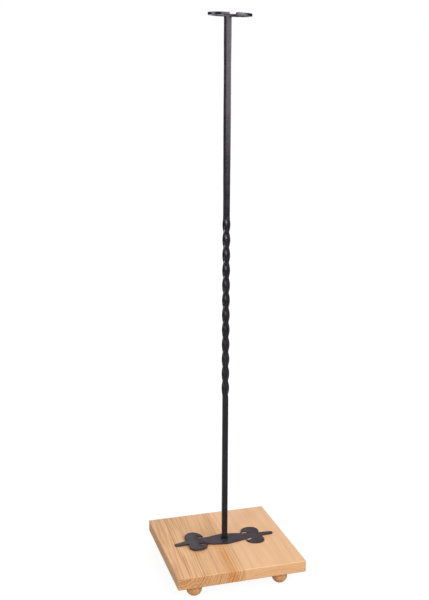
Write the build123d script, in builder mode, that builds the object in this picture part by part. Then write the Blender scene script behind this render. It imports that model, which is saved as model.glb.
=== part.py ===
from build123d import *
from math import sqrt
import os

# Single-sword floor stand: a twisted square bar on a wooden board, with an open loop on top.
# Frame: millimetres, +Z up, origin on the floor under the middle of the board, front towards -Y.

# --- driving dimensions -----------------------------------------------------------------------
BOARD_SIDE = 250.0            # square board
BOARD_T = 22.5                # board thickness
GLUE_LINE_X = 4.0             # the joint between the two staves, a little right of the middle
BOARD_ARRIS = 1.0             # broken edges of the board

BALL_R = 15.0                 # turned ball foot
FOOT_H = 28.0                 # ball height between its two small flats
FOOT_LEFT_X = -87.5           # ball centres, from the middle of the board; set by eye, so uneven
FOOT_RIGHT_X = 82.0
FOOT_Y = 96.5
DOWEL_R = 4.0                 # dowel that pins a ball to the board
DOWEL_ARRIS = 0.8
DOWEL_IN_BALL = 13.0
DOWEL_IN_BOARD = 12.0
DOWEL_HOLE_R = DOWEL_R + 0.05
DOWEL_HOLE_SPARE = 1.0        # glue space past the dowel's ends

POST_X = 1.2                  # the bar and its screw stand this far right of the middle
BAR = 10.8                    # square bar
BAR_ARRIS = 0.5               # slightly softened corners of the bar
TWIST_LOW = 297.5             # height of the twist's lower end above the board
TWIST_HIGH = 637.0            # height of its upper end above the board
TWIST_TURNS = 3               # full turns of the twist, less the angle that follows
FOOT_TURN = 10.0              # the bar's foot stands this many degrees clockwise of its top
POST_TOP = 995.8              # height of the bar's top end above the board

PLATE_T = 2.5                 # forged strap plate
NECK_X = 56.0                 # half length of the plate's diamond middle
NECK_HALF = 6.8               # half width where the diamond meets the flower
DIAMOND_HALF = 21.0           # half width of the diamond at the bar
DIAMOND_BOW = 1.6             # outward bow of the diamond's sides
WAIST_X = 74.0                # outer side of the flower, where its middle leaf starts
FINGER_TIP = 101.8            # end of the middle leaf
FINGER_HALF = 6.4             # half width of the middle leaf at its root
FINGER_TIP_R = 4.6            # round end of the middle leaf
# a side leaf's edge, out from the bar and away from the middle line: round its back to its tip,
# and then through its hollow to its root
LEAF_BACK = [(WAIST_X, 5.8), (75.8, 12.0), (76.6, 19.5), (74.3, 27.2), (67.5, 32.6), (58.0, 34.0),
             (49.0, 31.2), (42.8, 25.2), (39.8, 15.5)]
LEAF_HOLLOW = [(39.8, 15.5), (44.0, 18.2), (49.5, 17.6), (53.2, 13.4), (54.8, 5.0)]

RING_X = 1.8                  # middle of the loop, from the middle of the board
RING_HALF_W = 40.8            # half of the loop's outer width
RING_BACK = 4.0               # outer back of the loop, behind the bar's axis
RING_WIDEST = -12.5           # where the loop is widest, in front of the bar's axis
RING_FRONT = -26.5            # outer front of the loop
RING_BAR_W = 6.5              # flat bar of the loop, seen from above
RING_BAR_H = 4.7              # flat bar of the loop, seen from the side
GAP_LEFT = -2.6               # the two ends of the bar, either side of the front gap
GAP_RIGHT = 9.7

WELD_LEG = 1.8                # weld round the bar's foot
RING_WELD_LEG = 1.6           # weld under the loop
RING_WELD_SHORT = 1.3         # that weld stops this far short of the loop's edges

BOLT_R = 3.0                  # M6 screw, thread drawn plain
BOLT_ARRIS = 0.6
BOLT_CLEAR_R = 3.3            # clearance hole in board and plate
BOLT_THREAD_IN_BAR = 22.0
TAPPED_R = BOLT_R + 0.03
TAPPED_SPARE = 3.0            # tapped hole past the screw's end
BOLT_HEAD_AF = 10.0           # across the flats of the hexagon
BOLT_HEAD_H = 4.0
WASHER_R = 9.0
WASHER_T = 1.6
COUNTERBORE_R = 10.5
COUNTERBORE_H = 8.0

# --- levels worked out from them ---------------------------------------------------------------
BOARD_LOW = FOOT_H
BOARD_TOP = BOARD_LOW + BOARD_T
PLATE_TOP = BOARD_TOP + PLATE_T
BAR_TOP = BOARD_TOP + POST_TOP
TWIST_ANGLE = 360.0 * TWIST_TURNS - FOOT_TURN
BALL_CENTRE = FOOT_H / 2
HALF = BOARD_SIDE / 2
WASHER_LOW = BOARD_LOW + COUNTERBORE_H - WASHER_T
UPWARD = (Align.CENTER, Align.CENTER, Align.MIN)

os.makedirs("parts", exist_ok=True)


def keep(piece, node):
    """Label a finished piece and write it as its own STEP file."""
    piece.part.label = node
    export_step(piece.part, "parts/" + node + ".step")


def bore(places, radius, depth):
    """Cut a round hole upwards from each place."""
    with Locations(*places):
        Cylinder(radius, depth, align=UPWARD, mode=Mode.SUBTRACT)


# --- the board: two staves glued edge to edge, bored for the screw and the four dowels -----------
def stave(x_low, x_high, foot_x):
    """One stave, with its arrises broken and its holes bored from below."""
    with BuildPart() as wood:
        with BuildSketch(Plane((0, 0, BOARD_LOW))):
            with Locations(((x_low + x_high) / 2, 0)):
                Rectangle(x_high - x_low, BOARD_SIDE)
        extrude(amount=BOARD_T)
        glued = wood.faces().sort_by(Axis.X)[-1 if x_high < HALF else 0]
        free_edges = [edge for edge in wood.edges() if edge not in glued.edges()]
        chamfer(free_edges, BOARD_ARRIS)
        bore([(POST_X, 0, BOARD_LOW)], BOLT_CLEAR_R, BOARD_T)
        bore([(POST_X, 0, BOARD_LOW)], COUNTERBORE_R, COUNTERBORE_H)
        bore([(foot_x, -FOOT_Y, BOARD_LOW), (foot_x, FOOT_Y, BOARD_LOW)], DOWEL_HOLE_R,
             DOWEL_IN_BOARD + DOWEL_HOLE_SPARE)
    return wood


keep(stave(-HALF, GLUE_LINE_X, FOOT_LEFT_X), "board_left_stave")
keep(stave(GLUE_LINE_X, HALF, FOOT_RIGHT_X), "board_right_stave")


# --- the four turned feet and the dowels that hold them -----------------------------------------
FLAT_R = sqrt(BALL_R ** 2 - BALL_CENTRE ** 2)


def ball_foot(x, y):
    """A ball with a small flat above and below, bored from the top for its dowel."""
    bore_low = FOOT_H - DOWEL_IN_BALL - DOWEL_HOLE_SPARE
    with BuildPart() as ball:
        with BuildSketch(Plane((x, y, 0), x_dir=(1, 0, 0), z_dir=(0, -1, 0))):
            with BuildLine():
                Polyline((0, FOOT_H), (0, 0), (FLAT_R, 0))
                ThreePointArc((FLAT_R, 0), (BALL_R, BALL_CENTRE), (FLAT_R, FOOT_H))
                Line((FLAT_R, FOOT_H), (0, FOOT_H))
            make_face()
        revolve(axis=Axis((x, y, 0), (0, 0, 1)))
        bore([(x, y, bore_low)], DOWEL_HOLE_R, FOOT_H - bore_low)
    return ball


def foot_dowel(x, y):
    """A plain dowel, half in the ball and half in the board, with chamfered ends."""
    with BuildPart() as dowel:
        with BuildSketch(Plane((x, y, FOOT_H - DOWEL_IN_BALL))):
            Circle(DOWEL_R)
        extrude(amount=DOWEL_IN_BALL + DOWEL_IN_BOARD)
        chamfer(dowel.edges().filter_by(GeomType.CIRCLE), DOWEL_ARRIS)
    return dowel


for end, foot_y in (("front", -FOOT_Y), ("back", FOOT_Y)):
    for side, foot_x in (("left", FOOT_LEFT_X), ("right", FOOT_RIGHT_X)):
        keep(ball_foot(foot_x, foot_y), "foot_" + end + "_" + side)
        keep(foot_dowel(foot_x, foot_y), "foot_dowel_" + end + "_" + side)


# --- the strap plate: a diamond between two fleurs-de-lis ---------------------------------------
def side_leaf(end, side):
    """One leaf that curls back towards the bar. end is -1 or 1 along X, side is -1 or 1 along Y."""
    def placed(points):
        return [(end * x, side * y) for x, y in points]

    with BuildLine() as outline:
        Spline(*placed(LEAF_BACK))
        Spline(*placed(LEAF_HOLLOW))
        Polyline(*placed([LEAF_HOLLOW[-1], (LEAF_HOLLOW[-1][0], 0), (WAIST_X, 0), LEAF_BACK[0]]))
    return outline


def finger(end):
    """The middle leaf: a tongue that narrows to a round end."""
    round_x = FINGER_TIP - FINGER_TIP_R
    with BuildLine() as outline:
        Line((end * NECK_X, -FINGER_HALF), (end * WAIST_X, -FINGER_HALF))
        Line((end * WAIST_X, -FINGER_HALF), (end * round_x, -FINGER_TIP_R))
        ThreePointArc((end * round_x, -FINGER_TIP_R), (end * FINGER_TIP, 0), (end * round_x, FINGER_TIP_R))
        Polyline((end * round_x, FINGER_TIP_R), (end * WAIST_X, FINGER_HALF),
                 (end * NECK_X, FINGER_HALF), (end * NECK_X, -FINGER_HALF))
    return outline


def diamond_side(end, side):
    """The middle of one side of the diamond, bowed out a little."""
    return (end * NECK_X / 2, side * ((DIAMOND_HALF + NECK_HALF) / 2 + DIAMOND_BOW))


with BuildPart() as strap_plate:
    with BuildSketch(Plane((POST_X, 0, BOARD_TOP))):
        with BuildLine():
            for end in (-1, 1):
                for side in (-1, 1):
                    ThreePointArc((0, side * DIAMOND_HALF), diamond_side(end, side),
                                  (end * NECK_X, side * NECK_HALF))
                Line((end * NECK_X, -NECK_HALF), (end * NECK_X, NECK_HALF))
        make_face()
        for end in (-1, 1):
            with BuildLine():
                add(finger(end).line)
            make_face()
            for side in (-1, 1):
                with BuildLine():
                    add(side_leaf(end, side).line)
                make_face()
    extrude(amount=PLATE_T)
    bore([(POST_X, 0, BOARD_TOP)], BOLT_CLEAR_R, PLATE_T)
keep(strap_plate, "strap_plate")


# --- the post: one square bar, twisted between its straight ends ---------------------------------
def bar_section(z, turn):
    """The bar's square section with softened corners, at height z and turned about its axis."""
    with BuildSketch(Plane((POST_X, 0, z))) as section:
        square = Rectangle(BAR, BAR, rotation=turn)
        chamfer(square.vertices(), BAR_ARRIS)
    return section


LOW_TWIST_Z = BOARD_TOP + TWIST_LOW
HIGH_TWIST_Z = BOARD_TOP + TWIST_HIGH
TWIST_RUN = TWIST_HIGH - TWIST_LOW
GUIDE_R = 1.0                 # any small radius: the helix only says how fast the section turns
with BuildPart() as post:
    add(bar_section(PLATE_TOP, -FOOT_TURN).sketch)
    extrude(amount=LOW_TWIST_Z - PLATE_TOP)
    with BuildLine() as twist_axis:
        Line((POST_X, 0, LOW_TWIST_Z), (POST_X, 0, HIGH_TWIST_Z))
    with BuildLine() as twist_guide:
        Helix(TWIST_RUN * 360 / TWIST_ANGLE, TWIST_RUN, GUIDE_R, center=(POST_X, 0, LOW_TWIST_Z),
              lefthand=True)
    sweep(bar_section(LOW_TWIST_Z, -FOOT_TURN).sketch, path=twist_axis.line, binormal=twist_guide.edge())
    add(bar_section(HIGH_TWIST_Z, 0).sketch)
    extrude(amount=BAR_TOP - HIGH_TWIST_Z)
    bore([(POST_X, 0, PLATE_TOP)], TAPPED_R, BOLT_THREAD_IN_BAR + TAPPED_SPARE)
keep(post, "post")


# --- the loop that the blade hangs through, bent from flat bar -----------------------------------
def loop_outline(inset):
    """The loop seen from above, drawn in from its outer edge: a back and a front half of an oval."""
    half_w = RING_HALF_W - inset
    back_h = RING_BACK - RING_WIDEST - inset
    front_h = RING_WIDEST - RING_FRONT - inset
    with BuildLine() as outline:
        EllipticalCenterArc((0, RING_WIDEST), half_w, back_h, start_angle=0, arc_size=180)
        EllipticalCenterArc((0, RING_WIDEST), half_w, front_h, start_angle=180, arc_size=180)
    return outline


with BuildPart() as blade_ring:
    with BuildSketch(Plane((RING_X, 0, BAR_TOP))):
        with BuildLine():
            add(loop_outline(0).line)
        make_face()
        with BuildLine():
            add(loop_outline(RING_BAR_W).line)
        make_face(mode=Mode.SUBTRACT)
    extrude(amount=RING_BAR_H)
    with BuildSketch(Plane(((GAP_LEFT + GAP_RIGHT) / 2, RING_FRONT, BAR_TOP))):
        Rectangle(GAP_RIGHT - GAP_LEFT, 2 * RING_BAR_W + RING_BAR_W / 2)
    extrude(amount=RING_BAR_H, mode=Mode.SUBTRACT)
keep(blade_ring, "blade_ring")


# --- the two welds -------------------------------------------------------------------------------
with BuildPart() as post_foot_weld:
    with BuildSketch(Plane((POST_X, 0, PLATE_TOP))):
        Rectangle(BAR + 2 * WELD_LEG, BAR + 2 * WELD_LEG, rotation=-FOOT_TURN)
    extrude(amount=WELD_LEG, taper=45)
    add(bar_section(PLATE_TOP, -FOOT_TURN).sketch)
    extrude(amount=WELD_LEG, mode=Mode.SUBTRACT)
keep(post_foot_weld, "post_foot_weld")

WELD_RUN = RING_BAR_W - 2 * RING_WELD_SHORT
WELD_FRONT_Y = RING_BACK - RING_BAR_W + RING_WELD_SHORT
with BuildPart() as ring_weld:
    with BuildSketch(Plane((POST_X, WELD_FRONT_Y, BAR_TOP), x_dir=(1, 0, 0), z_dir=(0, -1, 0))):
        for side in (-1, 1):
            inner_x = side * BAR / 2
            with BuildLine():
                Polyline((inner_x, 0), (inner_x + side * RING_WELD_LEG, 0), (inner_x, -RING_WELD_LEG),
                         close=True)
            make_face()
    extrude(amount=-WELD_RUN)
keep(ring_weld, "ring_weld")


# --- the screw and washer under the board ---------------------------------------------------------
with BuildPart() as clamp_washer:
    with BuildSketch(Plane((POST_X, 0, WASHER_LOW))):
        Circle(WASHER_R)
        Circle(BOLT_CLEAR_R, mode=Mode.SUBTRACT)
    extrude(amount=WASHER_T)
keep(clamp_washer, "clamp_washer")

with BuildPart() as clamp_bolt:
    with BuildSketch(Plane((POST_X, 0, WASHER_LOW - BOLT_HEAD_H))):
        RegularPolygon(BOLT_HEAD_AF / 2, 6, major_radius=False)
    extrude(amount=BOLT_HEAD_H)
    with BuildSketch(Plane((POST_X, 0, WASHER_LOW))):
        Circle(BOLT_R)
    extrude(amount=PLATE_TOP + BOLT_THREAD_IN_BAR - WASHER_LOW)
    chamfer(clamp_bolt.faces().sort_by(Axis.Z)[-1].edges(), BOLT_ARRIS)
keep(clamp_bolt, "clamp_bolt")
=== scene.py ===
import math

import bmesh
import bpy
import numpy as np
from mathutils import Matrix, Vector


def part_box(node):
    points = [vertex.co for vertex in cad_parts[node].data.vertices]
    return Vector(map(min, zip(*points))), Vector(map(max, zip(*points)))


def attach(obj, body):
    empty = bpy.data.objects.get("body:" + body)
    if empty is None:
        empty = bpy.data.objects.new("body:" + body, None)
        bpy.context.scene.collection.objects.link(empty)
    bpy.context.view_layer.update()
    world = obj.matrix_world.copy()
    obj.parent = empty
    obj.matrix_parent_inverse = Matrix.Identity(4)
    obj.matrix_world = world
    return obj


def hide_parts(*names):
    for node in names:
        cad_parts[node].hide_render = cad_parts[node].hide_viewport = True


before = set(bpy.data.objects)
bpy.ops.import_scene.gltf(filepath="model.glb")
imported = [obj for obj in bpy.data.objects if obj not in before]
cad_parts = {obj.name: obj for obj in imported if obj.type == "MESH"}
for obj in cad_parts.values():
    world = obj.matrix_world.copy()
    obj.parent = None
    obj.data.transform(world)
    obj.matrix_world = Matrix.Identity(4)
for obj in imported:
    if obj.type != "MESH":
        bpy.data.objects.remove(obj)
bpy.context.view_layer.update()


# ---------------------------------------------------------------------------------------------
# The board: two planed softwood staves glued edge to edge, oiled, with lightly rounded arrises.
# The left stave is cut beside the heart of the tree and is striped, the right one is plainer.
# ---------------------------------------------------------------------------------------------
MM = 0.001


def node(tree, kind, inputs=None, **settings):
    """Add a node, set its properties, and give its inputs a value or a link from another socket."""
    made = tree.nodes.new(kind)
    for name, value in settings.items():
        setattr(made, name, value)
    for name, value in (inputs or {}).items():
        if isinstance(value, bpy.types.NodeSocket):
            tree.links.new(value, made.inputs[name])
        else:
            made.inputs[name].default_value = value
    return made


def math_node(tree, operation, first, second=0.0):
    """Work on one or two numbers."""
    return node(tree, "ShaderNodeMath", {0: first, 1: second}, operation=operation).outputs[0]


def smooth_range(tree, value, low, high, to_low=0.0, to_high=1.0):
    """Map value from low and high onto to_low and to_high, with a soft start and end."""
    step = node(tree, "ShaderNodeMapRange", {"Value": value, "From Min": low, "From Max": high,
                                             "To Min": to_low, "To Max": to_high},
                interpolation_type="SMOOTHSTEP")
    return step.outputs["Result"]


def stretched_noise(tree, place, stretch, scale, detail=2.0, rough=0.5):
    """Noise drawn out along the fibres: stretch says how much each axis counts."""
    drawn = node(tree, "ShaderNodeVectorMath", {0: place, 1: stretch}, operation="MULTIPLY").outputs[0]
    return node(tree, "ShaderNodeTexNoise", {"Vector": drawn, "Scale": scale, "Detail": detail,
                                             "Roughness": rough})


def mixed(tree, factor, first, second, blend="MIX"):
    """Mix two colours."""
    mix = node(tree, "ShaderNodeMix", data_type="RGBA", blend_type=blend)
    for socket, value in ((mix.inputs[0], factor), (mix.inputs[6], first), (mix.inputs[7], second)):
        if isinstance(value, bpy.types.NodeSocket):
            tree.links.new(value, socket)
        else:
            socket.default_value = value
    return mix.outputs[2]


def new_group(name, kind, inputs, outputs):
    """A node group with named inputs (name, type, default) and outputs (name, type)."""
    tree = bpy.data.node_groups.new(name, kind)
    for label, socket_type, default in inputs:
        socket = tree.interface.new_socket(name=label, in_out="INPUT", socket_type=socket_type)
        if default is not None:
            socket.default_value = default
    for label, socket_type in outputs:
        tree.interface.new_socket(name=label, in_out="OUTPUT", socket_type=socket_type)
    return tree, tree.nodes.new("NodeGroupInput").outputs, tree.nodes.new("NodeGroupOutput").inputs


def make_timber_group():
    """Growth rings round a pith along Y, with late wood, fibres, pores and drifts of colour."""
    ring_wander = 9 * MM
    year_swing = 2.2          # how far wide and narrow years push the rings, in ring widths
    late_starts = (0.30, 0.88)
    late_ends = (0.90, 1.0)
    # radii between which the late wood's strength changes: by the heart, outwards, and in the sapwood
    heart = (18 * MM, 26 * MM)
    calm = (30 * MM, 80 * MM)
    sapwood = (85 * MM, 100 * MM)
    # radii between which the fibres' dark streaks calm down
    streaky_heart = (20 * MM, 55 * MM)
    # noise scales, per metre, and how much the length of the fibres counts in each
    wander_scale = 16
    fibre_scale = 1300
    streak_scale = 330
    pore_scale = 800
    drift_scale = 26
    wander_stretch = (1, 0.10, 1)
    fibre_stretch = (1, 0.018, 1)
    streak_stretch = (1, 0.03, 1)
    pore_stretch = (1, 0.06, 1)
    drift_stretch = (1, 0.16, 1)
    pore_depth = 0.10
    base_depth = 0.16

    tree, given, result = new_group(
        "timber", "ShaderNodeTree",
        [("Place", "NodeSocketVector", None), ("Pith", "NodeSocketVector", None),
         ("Ring Width", "NodeSocketFloat", 4 * MM), ("Late Wood", "NodeSocketFloat", 0.6),
         ("Fibre", "NodeSocketFloat", 0.3), ("Drift", "NodeSocketFloat", 0.3),
         ("End Grain", "NodeSocketFloat", 0.0), ("End Contrast", "NodeSocketFloat", 1.2),
         ("Pale", "NodeSocketColor", None), ("Deep", "NodeSocketColor", None)],
        [("Color", "NodeSocketColor"), ("Roughness", "NodeSocketFloat"), ("Height", "NodeSocketFloat")])
    place = node(tree, "ShaderNodeVectorMath", {0: given["Place"], 1: given["Pith"]},
                 operation="SUBTRACT").outputs[0]
    wander = stretched_noise(tree, place, wander_stretch, wander_scale)
    bend = node(tree, "ShaderNodeVectorMath", {0: wander.outputs["Color"], 1: (0.5, 0.5, 0.5)},
                operation="SUBTRACT").outputs[0]
    bend = node(tree, "ShaderNodeVectorMath", {0: bend, "Scale": ring_wander},
                operation="SCALE").outputs[0]
    bent = node(tree, "ShaderNodeVectorMath", {0: place, 1: bend}, operation="ADD").outputs[0]
    flat = node(tree, "ShaderNodeVectorMath", {0: bent, 1: (1, 0, 1)}, operation="MULTIPLY").outputs[0]
    radius = node(tree, "ShaderNodeVectorMath", {0: flat}, operation="LENGTH").outputs["Value"]

    years = math_node(tree, "DIVIDE", radius, given["Ring Width"])
    fat_years = node(tree, "ShaderNodeTexNoise", {"W": years, "Scale": 0.35, "Detail": 1.0},
                     noise_dimensions="1D").outputs["Fac"]
    years = math_node(tree, "ADD", years, math_node(tree, "MULTIPLY", fat_years, year_swing))
    year = math_node(tree, "FLOOR", years)
    season = math_node(tree, "FRACT", years)
    late = math_node(tree, "MULTIPLY", smooth_range(tree, season, *late_starts),
                     smooth_range(tree, season, *late_ends, 1.0, 0.0))
    harvest = node(tree, "ShaderNodeTexWhiteNoise", {"W": year}, noise_dimensions="1D").outputs["Value"]
    harvest = smooth_range(tree, harvest, 0.0, 1.0, 0.25, 1.0)
    late = math_node(tree, "MULTIPLY", late, harvest)
    plain = math_node(tree, "MULTIPLY", smooth_range(tree, radius, *heart, 0.35, 1.0),
                      smooth_range(tree, radius, *calm, 1.0, 0.5))
    plain = math_node(tree, "ADD", plain, smooth_range(tree, radius, *sapwood, 0.0, 0.6))
    late = math_node(tree, "MULTIPLY", late, math_node(tree, "MAXIMUM", plain, given["End Grain"]))
    sawn = math_node(tree, "MULTIPLY", given["End Grain"], given["End Contrast"])
    late = math_node(tree, "MULTIPLY", late, math_node(tree, "ADD", sawn, 1.0))

    along = given["Place"]
    fibre = stretched_noise(tree, along, fibre_stretch, fibre_scale, detail=3, rough=0.6).outputs["Fac"]
    streak = stretched_noise(tree, along, streak_stretch, streak_scale, rough=0.6).outputs["Fac"]
    pore = stretched_noise(tree, along, pore_stretch, pore_scale).outputs["Fac"]
    pore = smooth_range(tree, pore, 0.64, 0.74)
    drift = stretched_noise(tree, along, drift_stretch, drift_scale).outputs["Fac"]

    def centred(value, gain):
        return math_node(tree, "MULTIPLY", math_node(tree, "SUBTRACT", value, 0.5), gain)

    depth = math_node(tree, "MULTIPLY", late, given["Late Wood"])
    depth = math_node(tree, "ADD", depth, centred(fibre, given["Fibre"]))
    streak_gain = math_node(tree, "MULTIPLY", given["Fibre"],
                            smooth_range(tree, radius, *streaky_heart, 3.0, 1.5))
    depth = math_node(tree, "ADD", depth, centred(streak, streak_gain))
    depth = math_node(tree, "ADD", depth, centred(drift, given["Drift"]))
    depth = math_node(tree, "ADD", depth, math_node(tree, "MULTIPLY", pore, pore_depth))
    depth = node(tree, "ShaderNodeClamp", {"Value": math_node(tree, "ADD", depth, base_depth)}).outputs[0]
    tree.links.new(mixed(tree, depth, given["Pale"], given["Deep"]), result["Color"])
    tree.links.new(smooth_range(tree, depth, 0.0, 1.0, 0.44, 0.58), result["Roughness"])
    relief = math_node(tree, "SUBTRACT", math_node(tree, "MULTIPLY", fibre, 0.6), pore)
    relief = math_node(tree, "SUBTRACT", relief, math_node(tree, "MULTIPLY", late, 0.35))
    tree.links.new(relief, result["Height"])
    return tree


TIMBER = make_timber_group()


def timber_material(name, pith, ring_width, late_wood, pale, deep, fibre=0.3, drift=0.3,
                    grain_turn=(0, 0, 0), end_contrast=1.2, streak=None):
    """Oiled wood. grain_turn turns the fibres from Y, streak is a dark band's (x, half width, colour)."""
    end_tint = (0.91, 0.86, 0.78, 1)
    band_wander = 12 * MM
    band_fades = (-70 * MM, 20 * MM)
    material = bpy.data.materials.new(name)
    material.use_nodes = True
    tree = material.node_tree
    surface = tree.nodes["Principled BSDF"]
    coords = node(tree, "ShaderNodeTexCoord").outputs
    place = node(tree, "ShaderNodeMapping", {"Vector": coords["Object"],
                                             "Rotation": grain_turn}).outputs[0]
    facing = node(tree, "ShaderNodeVectorRotate", {"Vector": coords["Normal"], "Rotation": grain_turn},
                  rotation_type="EULER_XYZ").outputs[0]
    facing = node(tree, "ShaderNodeSeparateXYZ", {0: facing}).outputs["Y"]
    end_grain = smooth_range(tree, math_node(tree, "ABSOLUTE", facing), 0.55, 0.95)
    wood = node(tree, "ShaderNodeGroup", node_tree=TIMBER)
    tree.links.new(place, wood.inputs["Place"])
    tree.links.new(end_grain, wood.inputs["End Grain"])
    for label, value in (("Pith", pith), ("Ring Width", ring_width), ("Late Wood", late_wood),
                         ("Fibre", fibre), ("Drift", drift), ("End Contrast", end_contrast),
                         ("Pale", pale), ("Deep", deep)):
        wood.inputs[label].default_value = value
    colour = wood.outputs["Color"]
    if streak:
        streak_x, streak_half, streak_colour = streak
        spot = node(tree, "ShaderNodeSeparateXYZ", {0: place}).outputs
        wobble = stretched_noise(tree, place, (1, 0.12, 1), 40).outputs["Fac"]
        across = math_node(tree, "ADD", spot["X"], math_node(tree, "MULTIPLY", wobble, band_wander))
        across = math_node(tree, "SUBTRACT", across, streak_x + band_wander / 2)
        away = math_node(tree, "ABSOLUTE", across)
        band = smooth_range(tree, away, streak_half * 0.2, streak_half, 0.9, 0.0)
        band = math_node(tree, "MULTIPLY", band, smooth_range(tree, spot["Y"], *band_fades, 1.0, 0.15))
        colour = mixed(tree, band, colour, streak_colour, "MULTIPLY")
    colour = mixed(tree, end_grain, colour, mixed(tree, 1.0, colour, end_tint, "MULTIPLY"))
    tree.links.new(colour, surface.inputs["Base Color"])
    tree.links.new(wood.outputs["Roughness"], surface.inputs["Roughness"])
    bump = node(tree, "ShaderNodeBump", {"Height": wood.outputs["Height"], "Strength": 0.25,
                                         "Distance": 0.15 * MM})
    tree.links.new(bump.outputs[0], surface.inputs["Normal"])
    surface.inputs["Specular IOR Level"].default_value = 0.35
    return material


def copy_of_node(name, label):
    """A copy of a CAD node's mesh as a new object, with its points merged and its flat faces joined."""
    merge_reach = 0.002 * MM
    flat_angle = math.radians(0.5)
    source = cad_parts[name]
    draft = bmesh.new()
    draft.from_mesh(source.data)
    bmesh.ops.remove_doubles(draft, verts=draft.verts, dist=merge_reach)
    bmesh.ops.dissolve_limit(draft, angle_limit=flat_angle, verts=draft.verts, edges=draft.edges)
    bmesh.ops.recalc_face_normals(draft, faces=draft.faces)
    mesh = bpy.data.meshes.new(label)
    draft.to_mesh(mesh)
    draft.free()
    piece = bpy.data.objects.new(label, mesh)
    bpy.context.scene.collection.objects.link(piece)
    return piece


def settle(piece):
    """Apply every modifier by making a plain mesh of the evaluated piece."""
    bpy.context.view_layer.update()
    final = bpy.data.meshes.new_from_object(piece.evaluated_get(bpy.context.evaluated_depsgraph_get()))
    piece.modifiers.clear()
    piece.data = final


def fit(piece, material, cad_node):
    """Give a finished piece its material and its place in the assembly."""
    piece.data.materials.clear()
    piece.data.materials.append(material)
    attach(piece, "root")
    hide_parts(cad_node)


STAVE_SOFTENING = 0.3 * MM
ARRIS_ANGLE = math.radians(30)

stave_woods = {
    "board_left_stave": timber_material(
        "striped stave", pith=(-113 * MM, 0, 68 * MM), ring_width=3.3 * MM, late_wood=0.60,
        pale=(0.72, 0.415, 0.208, 1), deep=(0.37, 0.165, 0.060, 1), fibre=0.70, drift=0.50,
        grain_turn=(0, 0, math.radians(3.0)), streak=(-14 * MM, 15 * MM, (0.95, 0.80, 0.57, 1))),
    "board_right_stave": timber_material(
        "plain stave", pith=(70 * MM, 0, -95 * MM), ring_width=5.5 * MM, late_wood=0.40,
        pale=(0.74, 0.45, 0.250, 1), deep=(0.55, 0.28, 0.13, 1), fibre=0.45, drift=0.35,
        grain_turn=(0, 0, math.radians(2.0)), end_contrast=0.4),
}
for stave_name, stave_wood in stave_woods.items():
    stave = copy_of_node(stave_name, stave_name + "_planed")
    rounding = stave.modifiers.new("softened arris", "BEVEL")
    rounding.width = STAVE_SOFTENING
    rounding.segments = 2
    rounding.limit_method = "ANGLE"
    rounding.angle_limit = ARRIS_ANGLE
    rounding.harden_normals = True
    settle(stave)
    fit(stave, stave_wood, stave_name)


# ---------------------------------------------------------------------------------------------
# The four feet: softwood balls turned on a lathe, each with a small flat above and below, and
# the fluted beech dowels that pin and glue them to the board.
# ---------------------------------------------------------------------------------------------
def lathe(label, profile, steps=72, radius_at=None):
    """Turn a profile of (radius, height) points into a mesh, closed if both its ends are on the axis."""
    sharp_angle = math.radians(35)
    draft = bmesh.new()
    rings = []
    for radius, height in profile:
        if radius == 0:
            rings.append([draft.verts.new((0, 0, height))])
            continue
        ring = []
        for step in range(steps):
            angle = 2 * math.pi * step / steps
            reach = radius_at(radius, angle, height) if radius_at else radius
            ring.append(draft.verts.new((reach * math.cos(angle), reach * math.sin(angle), height)))
        rings.append(ring)
    for low, high in zip(rings, rings[1:]):
        for step in range(steps):
            after = (step + 1) % steps
            corners = [low[step % len(low)], low[after % len(low)],
                       high[after % len(high)], high[step % len(high)]]
            draft.faces.new(list(dict.fromkeys(corners)))
    bmesh.ops.recalc_face_normals(draft, faces=draft.faces)
    for face in draft.faces:
        face.smooth = True
    for edge in draft.edges:
        edge.smooth = edge.calc_face_angle(0) < sharp_angle
    mesh = bpy.data.meshes.new(label)
    draft.to_mesh(mesh)
    draft.free()
    piece = bpy.data.objects.new(label, mesh)
    bpy.context.scene.collection.objects.link(piece)
    return piece


def move_mesh(piece, x, y, z):
    piece.data.transform(Matrix.Translation((x, y, z)))


BALL_R = 15 * MM
BALL_STEPS = 40
FLAT_RING = 0.6               # a ring of points within the flat, as a share of its radius
DOWEL_R = 4 * MM
DOWEL_ARRIS = 0.8 * MM
BORE_R = DOWEL_R * 1.02
BORE_SPARE = 1 * MM
FLUTES = 16
FLUTE_DEPTH = 0.06
UPRIGHT = (math.radians(90), 0, 0)


def fluted(radius, angle, height):
    """A dowel's radius, with shallow flutes for the glue."""
    return radius * (1 - FLUTE_DEPTH * max(0, math.cos(FLUTES * angle)) ** 2)


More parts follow.
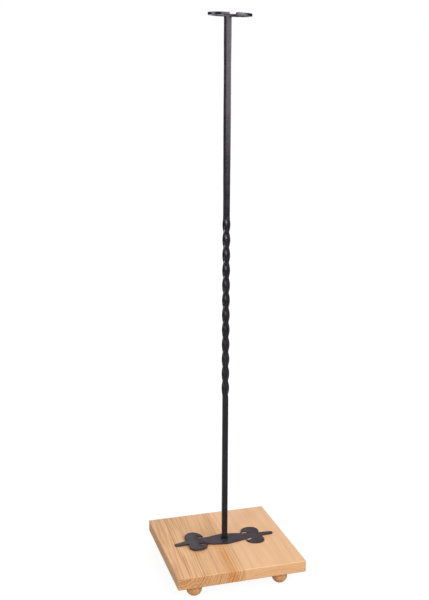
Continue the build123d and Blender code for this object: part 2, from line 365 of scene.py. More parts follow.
for index, corner in enumerate(("front_left", "front_right", "back_left", "back_right")):
    ball_low, ball_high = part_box("foot_" + corner)
    middle = (ball_low + ball_high) / 2
    ball_h = ball_high.z - ball_low.z
    flat_r = math.sqrt(BALL_R ** 2 - (ball_h / 2) ** 2)
    dowel_low, dowel_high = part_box("foot_dowel_" + corner)
    bore_z = dowel_low.z - BORE_SPARE
    flat_angle = math.acos(ball_h / 2 / BALL_R)
    profile = [(0, 0), (flat_r * FLAT_RING, 0)]
    for step in range(BALL_STEPS + 1):
        around = flat_angle + (math.pi - 2 * flat_angle) * step / BALL_STEPS
        profile.append((BALL_R * math.sin(around), ball_h / 2 - BALL_R * math.cos(around)))
    profile += [(BORE_R, ball_h), (BORE_R, bore_z), (0, bore_z)]
    ball = lathe("turned_foot_" + corner, profile)
    move_mesh(ball, middle.x, middle.y, 0)
    ball_wood = timber_material(
        "turned ball " + corner, pith=(middle.x + (12 + 2 * index) * MM, middle.z, middle.y + 12 * MM),
        ring_width=2.8 * MM, late_wood=0.65, pale=(0.65, 0.345, 0.140, 1),
        deep=(0.42, 0.175, 0.055, 1), fibre=0.4, drift=0.3, grain_turn=UPRIGHT)
    fit(ball, ball_wood, "foot_" + corner)

    dowel_h = dowel_high.z - dowel_low.z
    end_r = DOWEL_R - DOWEL_ARRIS
    profile = [(0, 0), (end_r, 0), (DOWEL_R, DOWEL_ARRIS), (DOWEL_R, dowel_h - DOWEL_ARRIS),
               (end_r, dowel_h), (0, dowel_h)]
    dowel = lathe("fluted_dowel_" + corner, profile, steps=96, radius_at=fluted)
    move_mesh(dowel, middle.x, middle.y, dowel_low.z)
    dowel_wood = timber_material(
        "beech dowel " + corner, pith=(middle.x + 30 * MM, 0, middle.y), ring_width=1.8 * MM,
        late_wood=0.25, pale=(0.68, 0.47, 0.29, 1), deep=(0.48, 0.29, 0.16, 1), grain_turn=UPRIGHT)
    fit(dowel, dowel_wood, "foot_dowel_" + corner)


# ---------------------------------------------------------------------------------------------
# The strap plate: mild steel forged flat, cut to a diamond between two fleurs-de-lis, hammered
# and blacked. The screw clamps its middle, and its left flower stands a little proud of the board.
# ---------------------------------------------------------------------------------------------
def make_hammer_group():
    """Push a surface in along its normal in overlapping dents, with finer unevenness between."""
    dent_blend = 0.35
    dent_edge = 0.75          # where a dent ends, in dent sizes
    ripple_ratio = 1.7        # ripples in the length of a dent
    tree, given, result = new_group(
        "hammer marks", "GeometryNodeTree",
        [("Geometry", "NodeSocketGeometry", None), ("Dent Depth", "NodeSocketFloat", 0.15 * MM),
         ("Dent Size", "NodeSocketFloat", 9 * MM), ("Unevenness", "NodeSocketFloat", 0.08 * MM),
         ("Seed", "NodeSocketFloat", 0.0)],
        [("Geometry", "NodeSocketGeometry")])
    place = node(tree, "GeometryNodeInputPosition").outputs[0]
    shifted = node(tree, "ShaderNodeVectorMath", {0: place, 1: node(
        tree, "ShaderNodeCombineXYZ", {"X": given["Seed"], "Y": given["Seed"]}).outputs[0]},
        operation="ADD").outputs[0]
    per_metre = math_node(tree, "DIVIDE", 1.0, given["Dent Size"])
    dents = node(tree, "ShaderNodeTexVoronoi", {"Vector": shifted, "Scale": per_metre,
                                               "Smoothness": dent_blend},
                 feature="SMOOTH_F1").outputs["Distance"]
    dent = smooth_range(tree, dents, 0.0, dent_edge, -1.0, 0.0)
    ripple = node(tree, "ShaderNodeTexNoise", {"Vector": shifted, "Detail": 2.0, "Scale": math_node(
        tree, "MULTIPLY", per_metre, ripple_ratio)}).outputs["Fac"]
    ripple = math_node(tree, "MULTIPLY", math_node(tree, "SUBTRACT", ripple, 0.5), 2.0)
    push = math_node(tree, "ADD", math_node(tree, "MULTIPLY", dent, given["Dent Depth"]),
                     math_node(tree, "MULTIPLY", ripple, given["Unevenness"]))
    offset = node(tree, "ShaderNodeVectorMath", {0: node(tree, "GeometryNodeInputNormal").outputs[0],
                                                 "Scale": push}, operation="SCALE").outputs[0]
    moved = node(tree, "GeometryNodeSetPosition", {"Geometry": given["Geometry"], "Offset": offset})
    tree.links.new(moved.outputs[0], result["Geometry"])
    return tree


HAMMER_MARKS = make_hammer_group()


def make_forged_tree():
    """Hammer a mesh, shade it smooth and give it its material."""
    tree, given, result = new_group(
        "forged surface", "GeometryNodeTree",
        [("Geometry", "NodeSocketGeometry", None), ("Dent Depth", "NodeSocketFloat", 0.15 * MM),
         ("Dent Size", "NodeSocketFloat", 9 * MM), ("Unevenness", "NodeSocketFloat", 0.08 * MM),
         ("Seed", "NodeSocketFloat", 0.0), ("Material", "NodeSocketMaterial", None)],
        [("Geometry", "NodeSocketGeometry")])
    hammered = node(tree, "GeometryNodeGroup", node_tree=HAMMER_MARKS)
    for label in ("Geometry", "Dent Depth", "Dent Size", "Unevenness", "Seed"):
        tree.links.new(given[label], hammered.inputs[label])
    smooth = node(tree, "GeometryNodeSetShadeSmooth", {"Geometry": hammered.outputs[0]})
    whole = node(tree, "GeometryNodeRealizeInstances", {"Geometry": smooth.outputs[0]})
    dressed = node(tree, "GeometryNodeSetMaterial", {"Geometry": whole.outputs[0],
                                                     "Material": given["Material"]})
    tree.links.new(dressed.outputs[0], result["Geometry"])
    return tree


FORGED = make_forged_tree()


def set_inputs(modifier, values):
    """Set a Geometry Nodes modifier's named inputs."""
    for label, value in values.items():
        modifier[modifier.node_group.interface.items_tree[label].identifier] = value


def mark_edges(mesh):
    """Store how far each point stands out from its neighbours, for rubbed metal and a painted highlight on
    the edges.
    """
    smoothing_rounds = 2
    shortest = 1e-9
    count = len(mesh.vertices)
    points = np.zeros(count * 3)
    mesh.vertices.foreach_get("co", points)
    points = points.reshape(-1, 3)
    normals = np.zeros(count * 3)
    mesh.vertex_normals.foreach_get("vector", normals)
    normals = normals.reshape(-1, 3)
    ends = np.zeros(len(mesh.edges) * 2, dtype=np.int64)
    mesh.edges.foreach_get("vertices", ends)
    first, second = ends.reshape(-1, 2).T
    spans = np.linalg.norm(points[first] - points[second], axis=1)
    lean = np.zeros(count)
    reach = np.zeros(count)
    for here, there in ((first, second), (second, first)):
        np.add.at(lean, here, np.einsum("ij,ij->i", points[here] - points[there], normals[here]))
        np.add.at(reach, here, spans)
    edge = np.clip(lean / np.maximum(reach, shortest), -1, 1)
    for _ in range(smoothing_rounds):
        total = edge.copy()
        share = np.ones(count)
        for here, there in ((first, second), (second, first)):
            np.add.at(total, here, edge[there])
            np.add.at(share, here, 1)
        edge = total / share
    layer = mesh.attributes.new("edge", "FLOAT", "POINT")
    layer.data.foreach_set("value", edge.astype(np.float32))


def make_blacking_group():
    """Blacked forged iron: drifts of tone, pits of scale, and lighter edges, partly burnished metal and
    partly a painted highlight.
    """
    # noise scales, per metre
    tone_scale = 70
    grit_scale = 900
    pit_scale = 420
    patch_scale = 130
    lighter = (1.9, 1.7, 1.75, 1)
    pit_roughness = 0.12
    tree, given, result = new_group(
        "blacked iron", "ShaderNodeTree",
        [("Place", "NodeSocketVector", None), ("Edge", "NodeSocketFloat", 0.0),
         ("Edge Start", "NodeSocketFloat", 0.10), ("Edge Full", "NodeSocketFloat", 0.35),
         ("Black", "NodeSocketColor", None), ("Bare Edge Highlight", "NodeSocketColor", None),
         ("Smoothest", "NodeSocketFloat", 0.34), ("Roughest", "NodeSocketFloat", 0.52)],
        [("Color", "NodeSocketColor"), ("Roughness", "NodeSocketFloat"), ("Height", "NodeSocketFloat")])
    place = given["Place"]
    tone = node(tree, "ShaderNodeTexNoise", {"Vector": place, "Scale": tone_scale,
                                             "Detail": 3}).outputs["Fac"]
    grit = node(tree, "ShaderNodeTexNoise", {"Vector": place, "Scale": grit_scale, "Detail": 4,
                                             "Roughness": 0.65}).outputs["Fac"]
    pits = node(tree, "ShaderNodeTexVoronoi", {"Vector": place, "Scale": pit_scale}).outputs["Distance"]
    pit = smooth_range(tree, pits, 0.05, 0.30, 1.0, 0.0)
    patch = node(tree, "ShaderNodeTexNoise", {"Vector": place, "Scale": patch_scale,
                                              "Detail": 2}).outputs["Fac"]
    pit = math_node(tree, "MULTIPLY", pit, smooth_range(tree, patch, 0.45, 0.62))
    # the outstanding edges turn lighter: partly metal rubbed through the blacking, partly a painted
    # highlight where the corners catch the light
    edge_rub_and_highlight = math_node(tree, "MULTIPLY", math_node(tree, "SUBTRACT", grit, 0.5), 0.25)
    edge_rub_and_highlight = math_node(tree, "ADD", given["Edge"], edge_rub_and_highlight)
    worn_edge_highlight = node(tree, "ShaderNodeMapRange", {"Value": edge_rub_and_highlight, "From Min": given["Edge Start"],
                                             "From Max": given["Edge Full"]}).outputs["Result"]
    worn_edge_highlight = math_node(tree, "MULTIPLY", worn_edge_highlight, smooth_range(tree, tone, 0.38, 0.60, 0.3, 1.0))
    drifted = mixed(tree, 1.0, given["Black"], lighter, "MULTIPLY")
    base = mixed(tree, smooth_range(tree, tone, 0.35, 0.70, 0.0, 0.55), given["Black"], drifted)
    # the lighter edge tone goes over the blacking here: rubbed metal and a painted highlight
    tree.links.new(mixed(tree, worn_edge_highlight, base, given["Bare Edge Highlight"]), result["Color"])
    rough = node(tree, "ShaderNodeMapRange", {"Value": tone, "From Min": 0.3, "From Max": 0.7,
                                              "To Min": given["Smoothest"],
                                              "To Max": given["Roughest"]}).outputs["Result"]
    rough = math_node(tree, "ADD", rough, math_node(tree, "MULTIPLY", pit, pit_roughness))
    tree.links.new(rough, result["Roughness"])
    height = math_node(tree, "SUBTRACT", math_node(tree, "MULTIPLY", grit, 0.5), pit)
    tree.links.new(height, result["Height"])
    return tree


BLACKED_IRON = make_blacking_group()


def iron_material(name, black, bare_edge_highlight, smoothest, roughest, edge_start=0.10, edge_full=0.35,
                  specular=0.32):
    """Blacked iron that turns lighter where the mesh's edge attribute passes edge_start: rubbed metal and
    a painted highlight.
    """
    material = bpy.data.materials.new(name)
    material.use_nodes = True
    tree = material.node_tree
    surface = tree.nodes["Principled BSDF"]
    iron = node(tree, "ShaderNodeGroup", node_tree=BLACKED_IRON)
    tree.links.new(node(tree, "ShaderNodeTexCoord").outputs["Object"], iron.inputs["Place"])
    tree.links.new(node(tree, "ShaderNodeAttribute", attribute_name="edge").outputs["Fac"],
                   iron.inputs["Edge"])
    for label, value in (("Edge Start", edge_start), ("Edge Full", edge_full), ("Black", black),
                         ("Bare Edge Highlight", bare_edge_highlight), ("Smoothest", smoothest), ("Roughest", roughest)):
        iron.inputs[label].default_value = value
    tree.links.new(iron.outputs["Color"], surface.inputs["Base Color"])
    tree.links.new(iron.outputs["Roughness"], surface.inputs["Roughness"])
    bump = node(tree, "ShaderNodeBump", {"Height": iron.outputs["Height"], "Strength": 0.10,
                                         "Distance": 0.05 * MM})
    tree.links.new(bump.outputs[0], surface.inputs["Normal"])
    surface.inputs["Specular IOR Level"].default_value = specular
    surface.inputs["Specular Tint"].default_value = (1.0, 0.93, 1.08, 1)
    return material


def forge(cad_node, label, material, voxel, smoothing, swell, dent_depth, dent_size, unevenness, seed):
    """Forge a piece from a CAD node: soften its edges and hammer it, without leaving the node's box."""
    piece = copy_of_node(cad_node, label)
    remesh = piece.modifiers.new("even skin", "REMESH")
    remesh.mode = "VOXEL"
    remesh.voxel_size = voxel
    thicken = piece.modifiers.new("room for smoothing", "DISPLACE")
    thicken.strength = swell
    thicken.mid_level = 0
    soften = piece.modifiers.new("worn edges", "SMOOTH")
    soften.factor = 0.5
    soften.iterations = smoothing
    hammer = piece.modifiers.new("hammer", "NODES")
    hammer.node_group = FORGED
    set_inputs(hammer, {"Dent Depth": dent_depth, "Dent Size": dent_size, "Unevenness": unevenness,
                        "Seed": seed, "Material": material})
    settle(piece)
    lowest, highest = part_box(cad_node)
    for point in piece.data.vertices:
        point.co = [min(max(value, low), high) for value, low, high in zip(point.co, lowest, highest)]
    return piece


# the plate's lighter edge colour is rubbed metal with a painted highlight
PLATE_BLACK = iron_material("blacked plate", black=(0.0320, 0.0240, 0.0285, 1),
                            bare_edge_highlight=(0.055, 0.050, 0.054, 1), smoothest=0.27, roughest=0.35, specular=0.11)
LIFT_X = -60 * MM             # the left flower's middle, where it stands highest
LIFT_REACH = 39 * MM
LIFT = 3.2 * MM
LIFT_ROLL = 1.1 * MM          # added at the plate's back edge and taken off at its front edge

plate = forge("strap_plate", "forged_strap_plate", PLATE_BLACK, voxel=0.5 * MM, smoothing=10,
              swell=0.35 * MM, dent_depth=0.10 * MM, dent_size=17 * MM, unevenness=0.07 * MM, seed=0.3)
plate_low, plate_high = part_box("strap_plate")
leaf_half = plate_high.y
for vertex in plate.data.vertices:
    along = (vertex.co.x - LIFT_X) / LIFT_REACH
    if abs(along) < 1:
        share = 0.5 + 0.5 * math.cos(math.pi * along)
        vertex.co.z += share * (LIFT + LIFT_ROLL * vertex.co.y / leaf_half)
mark_edges(plate.data)
fit(plate, PLATE_BLACK, "strap_plate")


# ---------------------------------------------------------------------------------------------
# The post: one length of square bar, drawn out a little by hand, heated and twisted three turns
# to the left between two straight ends, blacked, and welded and screwed to the plate.
# ---------------------------------------------------------------------------------------------
def make_bar_tree():
    """A square bar along Z: softened, drawn thinner in places, twisted and hammered."""
    corner_points = 3
    side_cuts = 3
    belly_reach = 90 * MM
    # heights above the twist's upper end where the drawn neck begins and runs out
    neck_starts = (-4 * MM, 10 * MM)
    neck_ends = (20 * MM, 110 * MM)
    # depths below the bar's top where its swollen head runs out
    head_ends = (30 * MM, 90 * MM)
    tree, given, result = new_group(
        "twisted bar", "GeometryNodeTree",
        [("Geometry", "NodeSocketGeometry", None), ("Low End", "NodeSocketFloat", 0.0),
         ("High End", "NodeSocketFloat", 1.0), ("Width", "NodeSocketFloat", 10 * MM),
         ("Corner Radius", "NodeSocketFloat", 0.8 * MM), ("Twist Low", "NodeSocketFloat", 0.3),
         ("Twist High", "NodeSocketFloat", 0.6), ("Twist", "NodeSocketFloat", 6.28),
         ("Foot Turn", "NodeSocketFloat", 0.0), ("Axis X", "NodeSocketFloat", 0.0),
         ("Head Swell", "NodeSocketFloat", 0.05), ("Belly Height", "NodeSocketFloat", 0.8),
         ("Belly Swell", "NodeSocketFloat", 0.02), ("Neck Draw", "NodeSocketFloat", 0.05),
         ("Step", "NodeSocketFloat", 1.6 * MM), ("Dent Depth", "NodeSocketFloat", 0.1 * MM),
         ("Dent Size", "NodeSocketFloat", 12 * MM), ("Unevenness", "NodeSocketFloat", 0.05 * MM),
         ("Seed", "NodeSocketFloat", 0.0), ("Material", "NodeSocketMaterial", None)],
        [("Geometry", "NodeSocketGeometry")])
    start = node(tree, "ShaderNodeCombineXYZ", {"Z": given["Low End"]}).outputs[0]
    end = node(tree, "ShaderNodeCombineXYZ", {"Z": given["High End"]}).outputs[0]
    axis = node(tree, "GeometryNodeCurvePrimitiveLine", {"Start": start, "End": end}).outputs[0]
    axis = node(tree, "GeometryNodeResampleCurve", {"Curve": axis, "Length": given["Step"]},
                mode="LENGTH").outputs[0]
    section = node(tree, "GeometryNodeCurvePrimitiveQuadrilateral", {"Width": given["Width"],
                                                                     "Height": given["Width"]}).outputs[0]
    section = node(tree, "GeometryNodeFilletCurve", {"Curve": section, "Count": corner_points,
                                                     "Radius": given["Corner Radius"]},
                   mode="POLY").outputs[0]
    section = node(tree, "GeometryNodeSubdivideCurve", {"Curve": section,
                                                        "Cuts": side_cuts}).outputs[0]
    bar = node(tree, "GeometryNodeCurveToMesh", {"Curve": axis, "Profile Curve": section,
                                                 "Fill Caps": True}).outputs[0]
    height = node(tree, "ShaderNodeSeparateXYZ", {
        0: node(tree, "GeometryNodeInputPosition").outputs[0]}).outputs["Z"]
    from_belly = math_node(tree, "ABSOLUTE", math_node(tree, "SUBTRACT", height, given["Belly Height"]))
    swell = math_node(tree, "MULTIPLY", smooth_range(tree, from_belly, 0.0, belly_reach, 1.0, 0.0),
                      given["Belly Swell"])
    from_neck = math_node(tree, "SUBTRACT", height, given["Twist High"])
    neck = math_node(tree, "MULTIPLY", smooth_range(tree, from_neck, *neck_starts),
                     smooth_range(tree, from_neck, *neck_ends, 1.0, 0.0))
    neck = math_node(tree, "MULTIPLY", neck, given["Neck Draw"])
    from_head = math_node(tree, "SUBTRACT", given["High End"], height)
    head = math_node(tree, "MULTIPLY", smooth_range(tree, from_head, *head_ends, 1.0, 0.0),
                     given["Head Swell"])
    swell = math_node(tree, "ADD", swell, head)
    drawn = math_node(tree, "SUBTRACT", math_node(tree, "ADD", swell, 1.0), neck)
    wide = node(tree, "ShaderNodeCombineXYZ", {"X": drawn, "Y": drawn, "Z": 1.0}).outputs[0]
    place = node(tree, "ShaderNodeVectorMath", {0: node(tree, "GeometryNodeInputPosition").outputs[0],
                                                1: wide}, operation="MULTIPLY").outputs[0]
    turned = node(tree, "ShaderNodeMapRange", {"Value": height, "From Min": given["Twist Low"],
                                               "From Max": given["Twist High"], "To Min": 0.0,
                                               "To Max": given["Twist"]}).outputs["Result"]
    turned = math_node(tree, "ADD", turned, given["Foot Turn"])
    place = node(tree, "ShaderNodeVectorRotate", {"Vector": place, "Angle": turned},
                 rotation_type="Z_AXIS").outputs[0]
    across = node(tree, "ShaderNodeCombineXYZ", {"X": given["Axis X"]}).outputs[0]
    bar = node(tree, "GeometryNodeSetPosition", {"Geometry": bar, "Position": place,
                                                 "Offset": across}).outputs[0]
    hammered = node(tree, "GeometryNodeGroup", {"Geometry": bar}, node_tree=HAMMER_MARKS)
    for label in ("Dent Depth", "Dent Size", "Unevenness", "Seed"):
        tree.links.new(given[label], hammered.inputs[label])
    smooth = node(tree, "GeometryNodeSetShadeSmooth", {"Geometry": hammered.outputs[0]})
    whole = node(tree, "GeometryNodeRealizeInstances", {"Geometry": smooth.outputs[0]})
    dressed = node(tree, "GeometryNodeSetMaterial", {"Geometry": whole.outputs[0],
                                                     "Material": given["Material"]})
    tree.links.new(dressed.outputs[0], result["Geometry"])
    return tree


# the bar's lighter edge colour, on its corners and along the twist's edges, is rubbed metal with a painted
# highlight
BAR_BLACK = iron_material("blacked bar", black=(0.0085, 0.0078, 0.0092, 1),
                          bare_edge_highlight=(0.045, 0.043, 0.046, 1), smoothest=0.20, roughest=0.29,
                          edge_start=0.28, edge_full=0.65)
TWIST_LOW = 297.5 * MM        # the twist's two ends, above the board
TWIST_HIGH = 637 * MM
post_low, post_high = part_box("post")
post_x = (post_low.x + post_high.x) / 2
board_top = plate_low.z

post = bpy.data.objects.new("twisted_post", bpy.data.meshes.new("twisted_post"))
bpy.context.scene.collection.objects.link(post)
bar = post.modifiers.new("twisted bar", "NODES")
bar.node_group = make_bar_tree()
set_inputs(bar, {"Low End": post_low.z, "High End": post_high.z, "Width": 10.8 * MM,
                 "Corner Radius": 0.5 * MM, "Axis X": post_x, "Head Swell": 0.05,
                 "Twist Low": board_top + TWIST_LOW, "Twist High": board_top + TWIST_HIGH,
                 "Twist": math.radians(-1070), "Foot Turn": math.radians(-10),
                 "Belly Height": 880 * MM, "Belly Swell": 0.03, "Neck Draw": 0.04,
                 "Step": 1.6 * MM, "Dent Depth": 0.10 * MM, "Dent Size": 13 * MM,
                 "Unevenness": 0.05 * MM, "Seed": 1.7, "Material": BAR_BLACK})
settle(post)
mark_edges(post.data)
fit(post, BAR_BLACK, "post")


# ---------------------------------------------------------------------------------------------
# The loop: flat bar bent round into an open, flattened ring with its gap at the front. The
# blade hangs through it and the cross-guard rests on it. It is welded to the post's end.
# ---------------------------------------------------------------------------------------------
ARM_BEND_X = -20 * MM         # the left front arm's end is bent back from here to the gap
ARM_BEND_REACH = 19 * MM
ARM_BEND_EASE = 6 * MM
ARM_BEND = 0.12
ARM_BACK_Y = -15 * MM

loop = forge("blade_ring", "bent_blade_ring", BAR_BLACK, voxel=0.35 * MM, smoothing=3,
             swell=0.1 * MM, dent_depth=0.12 * MM, dent_size=10 * MM, unevenness=0.10 * MM, seed=4.1)
for vertex in loop.data.vertices:
    past_bend = vertex.co.x - ARM_BEND_X
    if vertex.co.y < ARM_BACK_Y and 0 < past_bend < ARM_BEND_REACH:
        vertex.co.y += ARM_BEND * past_bend * min(1, past_bend / ARM_BEND_EASE)
mark_edges(loop.data)
fit(loop, BAR_BLACK, "blade_ring")


# ---------------------------------------------------------------------------------------------
# The two welds: a small bead round the post's foot on the plate, and two short beads in the
# corners under the loop. Both are lumpy and blacked over with the rest.
# ---------------------------------------------------------------------------------------------
for weld_node, weld_label in (("post_foot_weld", "foot_weld_bead"), ("ring_weld", "loop_weld_beads")):
    weld = forge(weld_node, weld_label, BAR_BLACK, voxel=0.2 * MM, smoothing=4, swell=0.1 * MM,
                 dent_depth=0.20 * MM, dent_size=2.2 * MM, unevenness=0.15 * MM, seed=2.5)
    mark_edges(weld.data)
    fit(weld, BAR_BLACK, weld_node)


# ---------------------------------------------------------------------------------------------
# The screw and washer under the board: zinc-plated steel, let into a counterbore. The screw
# pulls the bar's foot, the plate, the board and the washer together.
# ---------------------------------------------------------------------------------------------
def zinc_material():
    """Zinc plating, with the grey drifts and faint flakes of the plating bath."""
    flake_scale = 600
    haze_scale = 350
    material = bpy.data.materials.new("zinc plate")
    material.use_nodes = True
    tree = material.node_tree
    surface = tree.nodes["Principled BSDF"]
    place = node(tree, "ShaderNodeTexCoord").outputs["Object"]
    flakes = node(tree, "ShaderNodeTexVoronoi", {"Vector": place, "Scale": flake_scale}).outputs["Color"]
    haze = node(tree, "ShaderNodeTexNoise", {"Vector": place, "Scale": haze_scale,
                                             "Detail": 3}).outputs["Fac"]
    tint = mixed(tree, smooth_range(tree, haze, 0.3, 0.7), (0.56, 0.57, 0.60, 1), (0.70, 0.69, 0.66, 1))
    tree.links.new(mixed(tree, 0.06, tint, flakes), surface.inputs["Base Color"])
    tree.links.new(smooth_range(tree, haze, 0.25, 0.75, 0.28, 0.46), surface.inputs["Roughness"])
    bump = node(tree, "ShaderNodeBump", {"Height": haze, "Strength": 0.2, "Distance": 0.05 * MM})
    tree.links.new(bump.outputs[0], surface.inputs["Normal"])
    surface.inputs["Metallic"].default_value = 1.0
    return material


ZINC = zinc_material()
WASHER_BORE = 3.3 * MM
WASHER_ARRIS = 0.25 * MM
MERGE_REACH = 0.01 * MM

washer_low, washer_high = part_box("clamp_washer")
washer_r = (washer_high.x - washer_low.x) / 2
washer_t = washer_high.z - washer_low.z
washer = lathe("zinc_washer", [
    (WASHER_BORE, WASHER_ARRIS), (WASHER_BORE + WASHER_ARRIS, 0), (washer_r - WASHER_ARRIS, 0),
    (washer_r, WASHER_ARRIS), (washer_r, washer_t - WASHER_ARRIS), (washer_r - WASHER_ARRIS, washer_t),
    (WASHER_BORE + WASHER_ARRIS, washer_t), (WASHER_BORE, washer_t - WASHER_ARRIS),
    (WASHER_BORE, WASHER_ARRIS)])
# the profile is a closed outline off the axis, so its first and last rings are joined here
seam = bmesh.new()
seam.from_mesh(washer.data)
bmesh.ops.remove_doubles(seam, verts=seam.verts, dist=MERGE_REACH)
seam.to_mesh(washer.data)
seam.free()
move_mesh(washer, post_x, 0, washer_low.z)
fit(washer, ZINC, "clamp_washer")

HEAD_H = 4 * MM
HEAD_AF = 10 * MM             # across the flats of the hexagon
HEAD_CORNER = HEAD_AF / 2 / math.cos(math.pi / 6)
HEAD_FACE_R = HEAD_AF * 0.46
HEAD_SEAT_R = HEAD_AF * 0.48
FACE_EDGE = 0.12 * MM
CHAMFER = 0.6 * MM
SEAT_EDGE = 0.3 * MM
THREAD_R = 3 * MM
THREAD_PITCH = 1 * MM
THREAD_DEPTH = 0.5 * MM
THREAD_ROWS = 8               # rows of points in each turn of the thread
THREAD_START = 0.4 * MM
TIP_H = 1 * MM
TIP_R = THREAD_R * 0.75


def hexagon(radius, angle, height):
    """The head is a hexagon with a round chamfer below, and the shank carries a thread."""
    if radius > THREAD_R:
        sector = (angle + math.pi / 6) % (math.pi / 3) - math.pi / 6
        return min(radius, HEAD_AF / 2 / math.cos(sector))
    if height <= HEAD_H + THREAD_PITCH or radius < THREAD_R:
        return radius
    turn = (height / THREAD_PITCH - angle / (2 * math.pi)) % 1.0
    return radius - THREAD_DEPTH * abs(2 * turn - 1)


screw_low, screw_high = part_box("clamp_bolt")
screw_h = screw_high.z - screw_low.z
profile = [(0, 0), (HEAD_FACE_R, 0), (HEAD_AF / 2, FACE_EDGE), (HEAD_CORNER, CHAMFER),
           (HEAD_CORNER, HEAD_H - SEAT_EDGE), (HEAD_SEAT_R, HEAD_H), (THREAD_R, HEAD_H)]
thread_rows = round((screw_h - HEAD_H - TIP_H) / THREAD_PITCH * THREAD_ROWS)
for row in range(thread_rows + 1):
    profile.append((THREAD_R, HEAD_H + THREAD_START + row * THREAD_PITCH / THREAD_ROWS))
profile += [(TIP_R, screw_h), (0, screw_h)]
screw = lathe("zinc_screw", profile, steps=48, radius_at=hexagon)
move_mesh(screw, post_x, 0, screw_low.z)
fit(screw, ZINC, "clamp_bolt")


# ---------------------------------------------------------------------------------------------
# The studio: a white floor and background, two softboxes in front, one each side of the camera,
# weaker lights overhead and on the left, and two cards behind. The floor and background are
# white to the camera, and duller in reflections and as light.
# ---------------------------------------------------------------------------------------------
FLOOR_HALF = 12.0
DULL_PAPER = (0.42, 0.42, 0.42, 1)
SHADOW_PAPER = (0.10, 0.10, 0.10, 1)
WHITE = (1, 1, 1, 1)
GLOW_NEAR = 0.25              # the paper glows a little less within this reach of the stand
GLOW_FAR = 1.0
NEAR_GLOW = 0.92

floor_mesh = bpy.data.meshes.new("white_floor")
floor_mesh.from_pydata([(-FLOOR_HALF, -FLOOR_HALF, 0), (FLOOR_HALF, -FLOOR_HALF, 0),
                        (FLOOR_HALF, FLOOR_HALF, 0), (-FLOOR_HALF, FLOOR_HALF, 0)], [], [(0, 1, 2, 3)])
floor = bpy.data.objects.new("white_floor", floor_mesh)
bpy.context.scene.collection.objects.link(floor)
paper = bpy.data.materials.new("lit white paper")
paper.use_nodes = True
tree = paper.node_tree
tree.nodes.remove(tree.nodes["Principled BSDF"])
seen = node(tree, "ShaderNodeLightPath").outputs["Is Camera Ray"]
dull = node(tree, "ShaderNodeBsdfDiffuse", {"Color": DULL_PAPER}).outputs[0]
shadowed = node(tree, "ShaderNodeBsdfDiffuse", {"Color": SHADOW_PAPER}).outputs[0]
reach = node(tree, "ShaderNodeVectorMath", {0: node(tree, "ShaderNodeTexCoord").outputs["Object"]},
             operation="LENGTH").outputs["Value"]
glow = node(tree, "ShaderNodeEmission", {"Color": WHITE, "Strength": smooth_range(
    tree, reach, GLOW_NEAR, GLOW_FAR, NEAR_GLOW, 1.0)}).outputs[0]
bright = node(tree, "ShaderNodeAddShader", {0: shadowed, 1: glow}).outputs[0]
sheet = node(tree, "ShaderNodeMixShader", {0: seen, 1: dull, 2: bright}).outputs[0]
tree.links.new(sheet, tree.nodes["Material Output"].inputs["Surface"])
floor_mesh.materials.append(paper)


def soft_light(name, place, aim, size, radiance):
    """A rectangular soft light of an even brightness, which the camera doesn't see."""
    lamp = bpy.data.lights.new(name, "AREA")
    lamp.shape = "RECTANGLE"
    lamp.size, lamp.size_y = size
    lamp.energy = radiance * math.pi * size[0] * size[1]
    holder = bpy.data.objects.new(name, lamp)
    bpy.context.scene.collection.objects.link(holder)
    holder.location = place
    holder.rotation_euler = (Vector(aim) - Vector(place)).to_track_quat("-Z", "Y").to_euler()
    holder.visible_camera = False


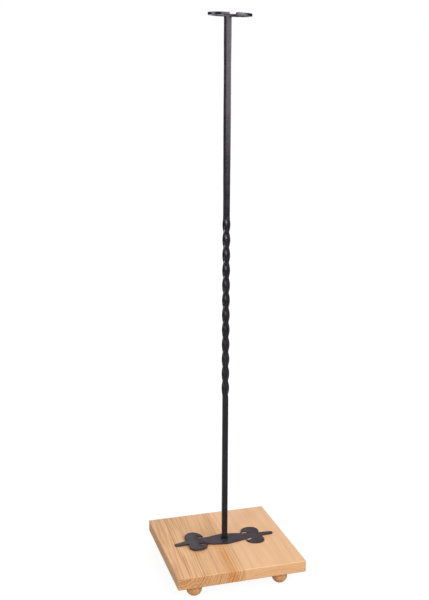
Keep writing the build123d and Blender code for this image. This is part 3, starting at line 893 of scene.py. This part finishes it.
soft_light("right softbox", place=(1.0, -1.96, 1.5), aim=(0, 0, 0.8), size=(1.5, 1.45), radiance=6.2)
soft_light("right softbox heart", place=(1.52, -1.75, 1.3), aim=(0, 0, 0.6), size=(0.6, 0.7), radiance=9.0)
soft_light("left softbox", place=(-1.45, -1.78, 1.15), aim=(0, 0, 0.6), size=(0.75, 0.85), radiance=12.0)
soft_light("overhead", place=(0.2, 0.0, 3.4), aim=(0.2, 0, 0), size=(1.8, 1.8), radiance=1.5)
soft_light("left", place=(-2.6, -0.5, 0.7), aim=(0, 0, 0.1), size=(1.0, 0.9), radiance=2.4)
soft_light("card behind", place=(0.15, 1.75, 1.6), aim=(0, 0, 1.2), size=(0.70, 1.4), radiance=1.85)
soft_light("low card behind", place=(0.55, 1.75, 0.50), aim=(0, 0, 1.0), size=(0.5, 0.35), radiance=2.4)

ROOM_LOW = 0.10               # the room's light from level with the stand, and from overhead
ROOM_HIGH = 0.55
world = bpy.data.worlds.new("white room")
bpy.context.scene.world = world
world.use_nodes = True
tree = world.node_tree
sky = tree.nodes["Background"]
seen = node(tree, "ShaderNodeLightPath").outputs["Is Camera Ray"]
upward = node(tree, "ShaderNodeSeparateXYZ", {0: node(tree, "ShaderNodeTexCoord").outputs["Generated"]})
room = smooth_range(tree, upward.outputs["Z"], 0.1, 0.85, ROOM_LOW, ROOM_HIGH)
level = node(tree, "ShaderNodeMix", {0: seen, 2: room, 3: 1.0}, data_type="FLOAT").outputs[0]
tree.links.new(level, sky.inputs["Strength"])
sky.inputs["Color"].default_value = WHITE

CAMERA_TURN = math.radians(-16.599)
CAMERA_TILT = math.radians(11.105)
CAMERA_ROLL = math.radians(0.222)
CAMERA_PLACE = Vector((-0.46315, -1.48248, 0.84146))
LENS_MM = 50.484
FARTHEST = 50
ahead = Vector((-math.sin(CAMERA_TURN) * math.cos(CAMERA_TILT),
                math.cos(CAMERA_TURN) * math.cos(CAMERA_TILT), -math.sin(CAMERA_TILT)))
right = Vector((math.cos(CAMERA_TURN), math.sin(CAMERA_TURN), 0))
up = right.cross(ahead)
turned_right = right * math.cos(CAMERA_ROLL) + up * math.sin(CAMERA_ROLL)
turned_up = up * math.cos(CAMERA_ROLL) - right * math.sin(CAMERA_ROLL)
lens = bpy.data.cameras.new("camera")
lens.lens = LENS_MM
lens.clip_end = FARTHEST
camera = bpy.data.objects.new("camera", lens)
bpy.context.scene.collection.objects.link(camera)
camera.matrix_world = Matrix.Translation(CAMERA_PLACE) @ Matrix(
    (turned_right, turned_up, -ahead)).transposed().to_4x4()
bpy.context.scene.camera = camera
bpy.context.scene.view_settings.view_transform = "Standard"
